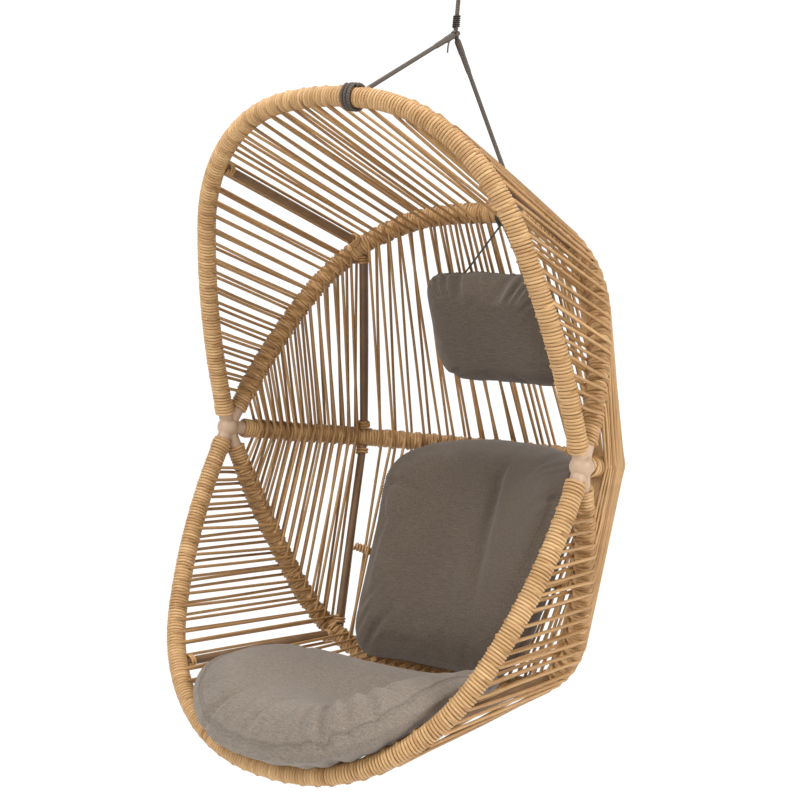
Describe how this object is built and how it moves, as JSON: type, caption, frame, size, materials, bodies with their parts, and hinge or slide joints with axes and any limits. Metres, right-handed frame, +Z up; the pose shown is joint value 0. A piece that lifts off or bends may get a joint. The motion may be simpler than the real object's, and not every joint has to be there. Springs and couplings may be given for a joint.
{
  "type": "hanging egg chair",
  "caption": "Egg-shaped hanging wicker chair on fanned wrapped hoops, with seat, back and head cushions, hung by a forked rope from a swivel with a ceiling eye.",
  "frame": {"origin": "centre of the ceiling eye that carries the chair", "axes": "+Z up, the open mouth faces -Y, +X towards the right of someone who faces the mouth; the ceiling eye is bored along Y"},
  "size_m": [0.883, 0.7938, 1.6558],
  "materials": {
    "steel_fitting": "brushed stainless steel",
    "bearing_bronze": "turned bronze",
    "pillow_cord": "thin twisted cord, dark grey-green",
    "dark_twine": "waxed twine",
    "rope": "laid rope, grey-brown",
    "painted_frame": "satin taupe powder coat",
    "wicker_wrap": "round synthetic wicker wound in close turns, honey brown",
    "wicker_strand": "round synthetic wicker, honey brown",
    "wicker_strand_inner": "round synthetic wicker, honey brown",
    "seat_fabric": "woven outdoor fabric, taupe-grey",
    "back_fabric": "woven outdoor fabric, dark taupe-grey"
  },
  "bodies": {
    "swivel_top": {"swivel_housing": "steel_fitting", "swivel_cap": "steel_fitting", "thrust_bearing": "bearing_bronze"},
    "jaw": {"swivel_stem": "steel_fitting", "jaw_pin": "steel_fitting", "jaw_nut": "steel_fitting"},
    "link": {"link_ring": "steel_fitting"},
    "chair": {"rope_thimble": "steel_fitting", "rope_eye": "rope", "eye_whipping": "dark_twine", "main_rope": "rope", "knot_whipping": "dark_twine", "junction_knot": "rope", "rope_tail": "rope", "front_rope": "rope", "rear_rope": "rope", "front_splice": "rope", "rear_splice": "rope", "front_lashing": "rope", "rear_lashing": "rope", "left_hub": "painted_frame", "right_hub": "painted_frame", "upper_mouth_tube": "painted_frame", "crown_tube": "painted_frame", "waist_tube": "painted_frame", "base_tube": "painted_frame", "lower_mouth_tube": "painted_frame", "upper_mouth_wrap": "wicker_wrap", "crown_wrap": "wicker_wrap", "waist_wrap": "wicker_wrap", "base_wrap": "wicker_wrap", "lower_mouth_wrap": "wicker_wrap", "roof_ribs": "painted_frame", "upper_back_ribs": "painted_frame", "lower_back_ribs": "painted_frame", "seat_ribs": "painted_frame", "lumbar_bar": "wicker_wrap", "roof_outer_strands": "wicker_strand", "roof_inner_strands": "wicker_strand_inner", "upper_back_outer_strands": "wicker_strand", "upper_back_inner_strands": "wicker_strand_inner", "lower_back_outer_strands": "wicker_strand", "lower_back_inner_strands": "wicker_strand_inner", "seat_outer_strands": "wicker_strand", "seat_inner_strands": "wicker_strand_inner"},
    "seat_pad": {"seat_cushion": "seat_fabric"},
    "back_pad": {"back_cushion": "back_fabric"},
    "head_pad": {"head_pillow": "back_fabric", "pillow_cord_left": "pillow_cord", "pillow_cord_right": "pillow_cord", "pillow_tie": "pillow_cord"}
  },
  "joints": [
    {"name": "turn", "type": "hinge", "parent": "swivel_top", "child": "jaw", "pos_m": [0, 0, -0.05], "axis": [0, 0, 1], "continuous": true},
    {"name": "swing_fore_aft", "type": "hinge", "parent": "jaw", "child": "link", "pos_m": [0, 0, -0.07], "axis": [1, 0, 0], "range_deg": [-20, 20]},
    {"name": "swing_sideways", "type": "hinge", "parent": "link", "child": "chair", "pos_m": [0, 0, -0.097], "axis": [0, 1, 0], "range_deg": [-15, 15]},
    {"name": "seat_lift", "type": "slide", "parent": "chair", "child": "seat_pad", "axis": [0, -0.28, 0.96], "range_m": [0, 0.08]},
    {"name": "back_lift", "type": "slide", "parent": "chair", "child": "back_pad", "axis": [0, -0.8693, 0.4942], "range_m": [0, 0.06]},
    {"name": "pillow_swing", "type": "hinge", "parent": "chair", "child": "head_pad", "pos_m": [0.06, 0.1198, -0.5828], "axis": [-0.9952, 0.0398, 0.0894], "range_deg": [0, 40]}
  ]
}
